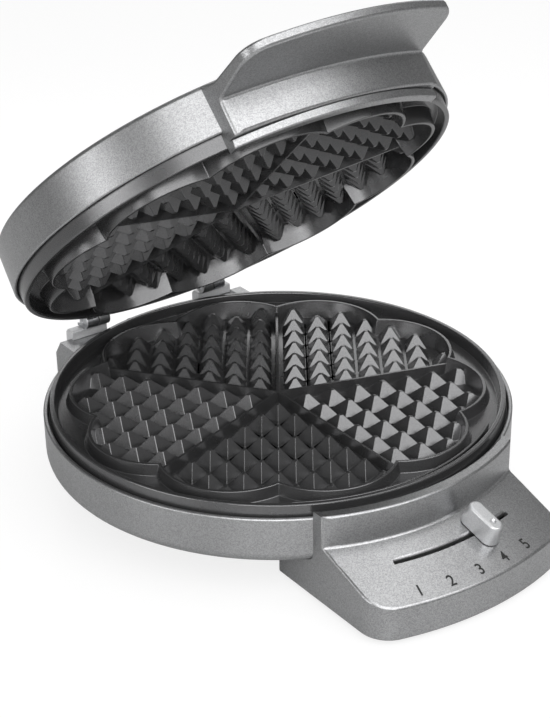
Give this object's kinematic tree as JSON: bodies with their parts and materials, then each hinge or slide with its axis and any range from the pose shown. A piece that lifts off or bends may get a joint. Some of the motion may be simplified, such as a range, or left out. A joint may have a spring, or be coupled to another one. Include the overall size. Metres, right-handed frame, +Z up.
{
  "type": "waffle maker",
  "caption": "Round electric waffle maker for heart-shaped waffles, with a hinged lid, a front lift handle and a sloping panel with a temperature slider.",
  "frame": {"origin": "on the table, below the middle of the object's bounding box, with the lid open as pictured", "axes": "+Z up; -Y towards the handle and the control panel; +Y towards the hinge; +X to the user's right"},
  "size_m": [0.231, 0.2966, 0.2518],
  "materials": {
    "silver_paint": "moulded plastic with a satin silver-grey metallic paint",
    "hinge_cover_paint": "moulded plastic with a light silver paint",
    "hinge_arm_paint": "cast metal with silver-grey paint",
    "plate_coating": "cast aluminium with a black non-stick coating",
    "dark_plastic": "black heat-resistant plastic",
    "heater_steel": "tubular heater sheath",
    "reflector_sheet": "pressed aluminium sheet",
    "steel": "zinc-plated steel",
    "rubber": "black rubber",
    "knob_plastic": "plastic with a light silver finish",
    "ceramic": "white steatite and heat-resistant plastic",
    "copper": "copper tube",
    "wire": "glass-fibre and silicone insulation"
  },
  "bodies": {
    "base": {"base_housing": "silver_paint", "base_plate_screws": "steel", "base_seat_ring": "dark_plastic", "control_box": "silver_paint", "control_box_cover": "dark_plastic", "control_box_cover_screws": "steel", "control_box_mount_screws": "steel", "cord_gland": "rubber", "foot_front_left": "rubber", "foot_front_right": "rubber", "foot_rear_left": "rubber", "foot_rear_right": "rubber", "heater_lead_back": "wire", "heater_lead_front": "wire", "hinge_cover_left": "hinge_cover_paint", "hinge_cover_right": "hinge_cover_paint", "hinge_ear_left": "steel", "hinge_ear_right": "steel", "hinge_ear_screw_left": "steel", "hinge_ear_screw_right": "steel", "hinge_pin_left": "steel", "hinge_pin_right": "steel", "lower_element": "heater_steel", "lower_plate": "plate_coating", "lower_reflector": "reflector_sheet", "supply_lead": "wire", "terminal_block": "ceramic", "thermal_fuse": "ceramic", "thermostat": "ceramic", "thermostat_probe": "copper"},
    "lid": {"lid_housing": "silver_paint", "lid_seat_ring": "dark_plastic", "upper_plate": "plate_coating", "upper_element": "heater_steel", "upper_reflector": "reflector_sheet", "lid_plate_screws": "steel", "handle": "silver_paint", "handle_strip": "silver_paint", "handle_screws": "steel", "hinge_arm_left": "hinge_arm_paint", "hinge_arm_right": "hinge_arm_paint", "hinge_arm_screws": "steel"},
    "slider": {"slider_knob": "knob_plastic", "slider_carriage": "dark_plastic"},
    "thermostat_lever": {"thermostat_lever": "steel"}
  },
  "joints": [
    {"name": "lid_hinge", "type": "hinge", "parent": "base", "child": "lid", "pos_m": [0, 0.1207, 0.0535], "axis": [-1, 0, 0], "range_deg": [-43.2, 51.8]},
    {"name": "temperature_slider", "type": "hinge", "parent": "base", "child": "slider", "pos_m": [0, 0.0077, 0.03], "axis": [0, 0, 1], "range_deg": [-17.7, 5.9]},
    {"name": "lever_turn", "type": "hinge", "parent": "base", "child": "thermostat_lever", "pos_m": [0, -0.0823, 0.018], "axis": [0, 0, 1], "range_deg": [-52, 18]}
  ],
  "couplings": [
    {"joint": "lever_turn", "follows": "temperature_slider", "ratio": 2.9}
  ]
}
